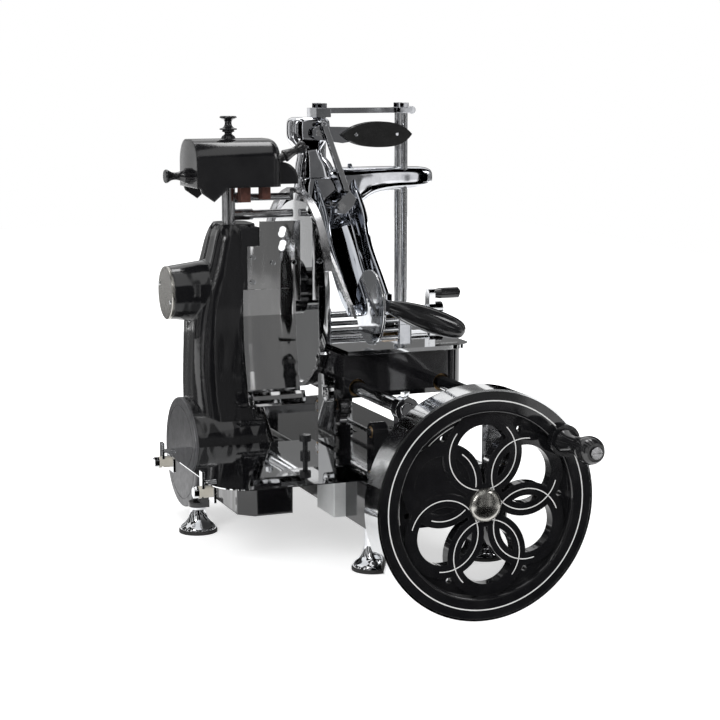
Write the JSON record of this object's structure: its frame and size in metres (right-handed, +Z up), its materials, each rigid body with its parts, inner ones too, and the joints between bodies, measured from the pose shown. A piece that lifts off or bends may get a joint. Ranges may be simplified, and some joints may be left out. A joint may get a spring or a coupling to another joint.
{
  "type": "hand crank meat slicer",
  "caption": "Flywheel meat slicer with hand crank, round blade, sliding carriage, meat press and slice tray, in black paint and chrome.",
  "frame": {"origin": "centre of the underside of the front left foot pad, on the table", "axes": "+X right as the operator sees it, +Y away from the operator along the flywheel shaft, +Z up"},
  "size_m": [0.5992, 0.8422, 0.755],
  "materials": {
    "black_paint": "gloss",
    "chrome": "polished",
    "steel": "satin",
    "mirror_steel": "mirror",
    "dull_grey": "satin",
    "label_grey": "satin",
    "rubber": "matte",
    "bronze": "satin",
    "cream_plastic": "satin",
    "black_plastic": "gloss",
    "stone_red": "matte"
  },
  "bodies": {
    "base": {"bed_casting": "black_paint", "tower_casting": "black_paint", "barrel_cap": "chrome", "drum_cover": "dull_grey", "bell_feet": "chrome", "foot_pads": "rubber", "carriage_rods": "steel", "rod_brackets": "chrome", "small_screws": "chrome", "shaft_bushes": "bronze", "spindle_sleeve": "chrome", "drive_chains": "steel", "slice_tray": "mirror_steel", "tray_spacers": "rubber", "tray_clamps": "chrome", "tray_clamp_collars": "cream_plastic", "terminal_cover": "label_grey", "blade_guard": "steel", "guard_plate": "chrome", "slice_deflector": "mirror_steel", "sharpener_frame": "steel", "sharpening_stones": "stone_red", "sharpener_cover": "black_paint"},
    "tray_knob": {"tray_knob": "black_plastic"},
    "sharpener_top_knob": {"sharpener_top_knob": "black_plastic"},
    "sharpener_side_knob": {"sharpener_side_knob": "black_plastic"},
    "sharpener_right_knob": {"sharpener_right_knob": "black_plastic"},
    "gauge": {"gauge_plate": "mirror_steel"},
    "flywheel": {"flywheel": "black_paint", "flywheel_band": "chrome", "flywheel_cap": "chrome", "flywheel_shaft": "steel", "crank_pin": "steel"},
    "crank_grip": {"crank_grip": "black_plastic"},
    "cross_shaft": {"cross_shaft": "steel"},
    "drive_sprocket": {"drive_sprocket": "steel"},
    "idler_sprocket": {"idler_sprocket": "steel"},
    "blade": {"blade": "mirror_steel", "blade_hub": "black_paint", "blade_spindle": "steel"},
    "carriage": {"carriage_casting": "black_paint", "carriage_bushes": "bronze"},
    "table": {"meat_table": "mirror_steel", "table_runners": "steel", "foot_blocks": "chrome", "press_columns": "steel"},
    "feed_screw": {"feed_screw": "chrome"},
    "feed_grip": {"feed_grip": "black_plastic"},
    "press": {"press_beam": "chrome", "top_bridge": "chrome", "press_pins": "steel", "press_arm": "chrome", "toothed_plate": "steel", "guard_disc": "chrome", "press_handle": "black_plastic"},
    "hand_lever": {"hand_lever": "chrome", "lever_grips": "black_plastic"},
    "link_rod": {"link_rod": "steel"},
    "catch": {"catch_plate": "chrome"}
  },
  "joints": [
    {"name": "flywheel_turn", "type": "hinge", "parent": "base", "child": "flywheel", "pos_m": [0.145, -0.07, 0.105], "axis": [0, 1, 0], "continuous": true},
    {"name": "crank_grip_spin", "type": "hinge", "parent": "flywheel", "child": "crank_grip", "pos_m": [0.26639, -0.15, 0.19648], "axis": [0, 1, 0], "continuous": true},
    {"name": "cross_shaft_turn", "type": "hinge", "parent": "base", "child": "cross_shaft", "pos_m": [0, 0.39, 0.105], "axis": [1, 0, 0], "continuous": true},
    {"name": "drive_sprocket_turn", "type": "hinge", "parent": "base", "child": "drive_sprocket", "pos_m": [0.07, 0.39, 0.177], "axis": [1, 0, 0], "continuous": true},
    {"name": "idler_sprocket_turn", "type": "hinge", "parent": "base", "child": "idler_sprocket", "pos_m": [0.07, 0.15, 0.177], "axis": [1, 0, 0], "continuous": true},
    {"name": "blade_turn", "type": "hinge", "parent": "base", "child": "blade", "pos_m": [0.02, 0.39, 0.382], "axis": [1, 0, 0], "continuous": true},
    {"name": "carriage_slide", "type": "slide", "parent": "base", "child": "carriage", "axis": [0, 1, 0], "range_m": [-0.134, 0.154]},
    {"name": "table_slide", "type": "slide", "parent": "carriage", "child": "table", "axis": [1, 0, 0], "range_m": [0, 0.095]},
    {"name": "feed_screw_turn", "type": "hinge", "parent": "table", "child": "feed_screw", "pos_m": [0.2, 0.436, 0.326], "axis": [1, 0, 0], "range_deg": [0, 3420]},
    {"name": "feed_grip_spin", "type": "hinge", "parent": "feed_screw", "child": "feed_grip", "pos_m": [0.31, 0.436, 0.353], "axis": [1, 0, 0], "continuous": true},
    {"name": "press_slide", "type": "slide", "parent": "table", "child": "press", "axis": [0, 0, 1], "range_m": [0, 0.085]},
    {"name": "hand_lever_turn", "type": "hinge", "parent": "press", "child": "hand_lever", "pos_m": [0.066, 0.404, 0.636], "axis": [0, 1, 0], "range_deg": [-10, 0]},
    {"name": "link_rod_turn", "type": "hinge", "parent": "hand_lever", "child": "link_rod", "pos_m": [0.072, 0.395, 0.652], "axis": [0, 1, 0], "range_deg": [-5, 15]},
    {"name": "catch_turn", "type": "hinge", "parent": "press", "child": "catch", "pos_m": [0.098, 0.385, 0.514], "axis": [0, 1, 0], "range_deg": [-15, 5]},
    {"name": "sharpener_top_knob_lift", "type": "slide", "parent": "base", "child": "sharpener_top_knob", "axis": [0, 0, 1], "range_m": [0, 0.012], "stiffness_N_per_m": 200, "springref_m": -0.002},
    {"name": "sharpener_side_knob_turn", "type": "hinge", "parent": "base", "child": "sharpener_side_knob", "pos_m": [-0.18, 0.385, 0.571], "axis": [1, 0, 0], "range_deg": [-90, 90]},
    {"name": "sharpener_right_knob_turn", "type": "hinge", "parent": "base", "child": "sharpener_right_knob", "pos_m": [-0.0146, 0.345, 0.602], "axis": [0.9042, 0, 0.4271], "continuous": true},
    {"name": "gauge_slide", "type": "slide", "parent": "base", "child": "gauge", "axis": [1, 0, 0], "range_m": [-0.015, 0]},
    {"name": "tray_knob_turn", "type": "hinge", "parent": "base", "child": "tray_knob", "pos_m": [-0.042, 0.177, 0.155], "axis": [0, 0, 1], "continuous": true}
  ],
  "couplings": [
    {"joint": "cross_shaft_turn", "follows": "flywheel_turn", "ratio": -1},
    {"joint": "drive_sprocket_turn", "follows": "flywheel_turn", "ratio": 1},
    {"joint": "idler_sprocket_turn", "follows": "flywheel_turn", "ratio": 1},
    {"joint": "blade_turn", "follows": "flywheel_turn", "ratio": -3},
    {"joint": "feed_screw_turn", "follows": "table_slide", "rad_per_m": 628.32},
    {"joint": "link_rod_turn", "follows": "hand_lever_turn", "ratio": -0.912},
    {"joint": "catch_turn", "follows": "hand_lever_turn", "ratio": 0.454}
  ]
}
